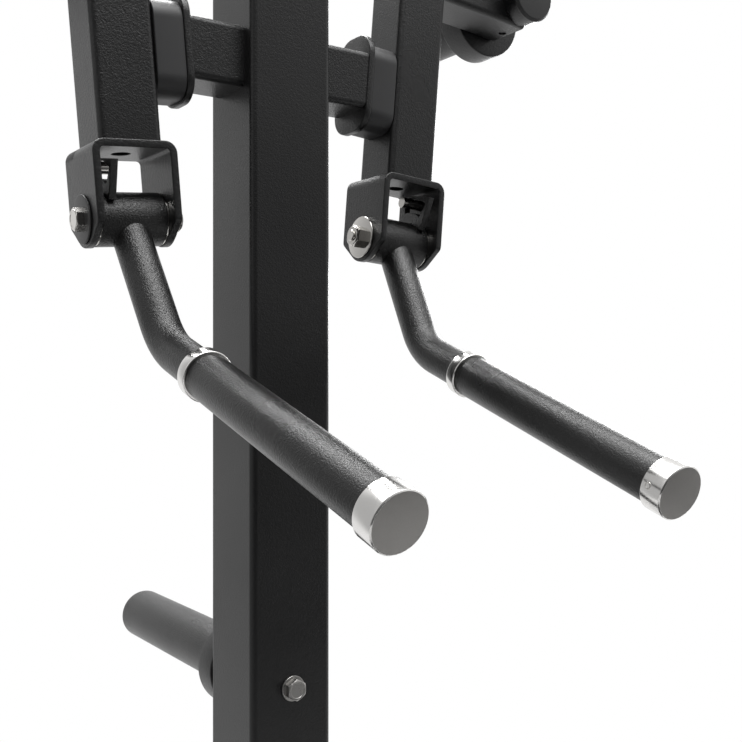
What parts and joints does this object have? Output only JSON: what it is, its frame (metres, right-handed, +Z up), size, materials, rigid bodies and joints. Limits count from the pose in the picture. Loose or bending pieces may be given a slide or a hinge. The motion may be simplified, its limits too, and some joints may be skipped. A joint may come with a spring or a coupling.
{
  "type": "standing lateral raise machine",
  "caption": "Plate loaded standing lateral raise machine: column on an open base, two outward swinging arms with weight horns and hinged hand grips.",
  "frame": {"origin": "centre of the footprint on the floor, at the underside of the foot pads", "axes": "+Z up, -Y towards the user's front edge of the base, +X to the right in the front view"},
  "size_m": [1.008, 0.9, 1.514],
  "materials": {
    "charcoal_paint": "fine textured powder coat",
    "chrome": "satin chrome",
    "zinc": "bright zinc",
    "rubber": "moulded rubber",
    "black_plastic": "fine matt grain"
  },
  "bodies": {
    "frame": {"centre_rail": "charcoal_paint", "front_foot": "charcoal_paint", "rear_foot": "charcoal_paint", "foot_end_caps": "black_plastic", "foot_pads": "rubber", "base_saddle": "charcoal_paint", "platform": "charcoal_paint", "platform_mat": "rubber", "column": "charcoal_paint", "column_flange": "charcoal_paint", "flange_gussets": "charcoal_paint", "flange_bolts": "zinc", "column_cap": "black_plastic", "crossbar": "charcoal_paint", "stop_plates": "charcoal_paint", "bumpers": "rubber", "head_plate_front": "charcoal_paint", "head_plate_rear": "charcoal_paint", "head_bolts": "zinc", "pivot_shafts": "zinc", "shaft_bolts": "zinc", "storage_peg": "charcoal_paint", "storage_collar": "charcoal_paint", "storage_bolt": "zinc"},
    "arm_right": {"arm_right": "charcoal_paint", "hub_bearings_right": "zinc", "lever_right": "charcoal_paint", "weight_horn_right": "charcoal_paint", "horn_collar_right": "charcoal_paint", "horn_caps_right": "black_plastic", "clevis_right": "charcoal_paint", "stop_pin_right": "zinc", "pivot_bolt_right": "zinc", "pivot_pad_right": "black_plastic", "pivot_nut_right": "zinc"},
    "arm_left": {"arm_left": "charcoal_paint", "hub_bearings_left": "zinc", "lever_left": "charcoal_paint", "weight_horn_left": "charcoal_paint", "horn_collar_left": "charcoal_paint", "horn_caps_left": "black_plastic", "clevis_left": "charcoal_paint", "stop_pin_left": "zinc", "pivot_bolt_left": "zinc", "pivot_pad_left": "black_plastic", "pivot_nut_left": "zinc"},
    "handle_right": {"handle_right": "charcoal_paint", "barrel_bushes_right": "zinc", "grip_ring_right": "chrome", "grip_right": "rubber", "grip_cap_right": "chrome", "set_screw_right": "zinc"},
    "handle_left": {"handle_left": "charcoal_paint", "barrel_bushes_left": "zinc", "grip_ring_left": "chrome", "grip_left": "rubber", "grip_cap_left": "chrome", "set_screw_left": "zinc"}
  },
  "joints": [
    {"name": "arm_right_swing", "type": "hinge", "parent": "frame", "child": "arm_right", "pos_m": [0.1716, 0.11, 1.43], "axis": [0, -1, 0], "range_deg": [0, 100]},
    {"name": "arm_left_swing", "type": "hinge", "parent": "frame", "child": "arm_left", "pos_m": [-0.1716, 0.11, 1.43], "axis": [0, 1, 0], "range_deg": [0, 100]},
    {"name": "handle_right_swing", "type": "hinge", "parent": "arm_right", "child": "handle_right", "pos_m": [0.12865, 0.11, 0.9185], "axis": [-0.9965, 0, 0.0837], "range_deg": [0, 23]},
    {"name": "handle_left_swing", "type": "hinge", "parent": "arm_left", "child": "handle_left", "pos_m": [-0.12865, 0.11, 0.9185], "axis": [-0.9965, 0, -0.0837], "range_deg": [0, 23]}
  ]
}
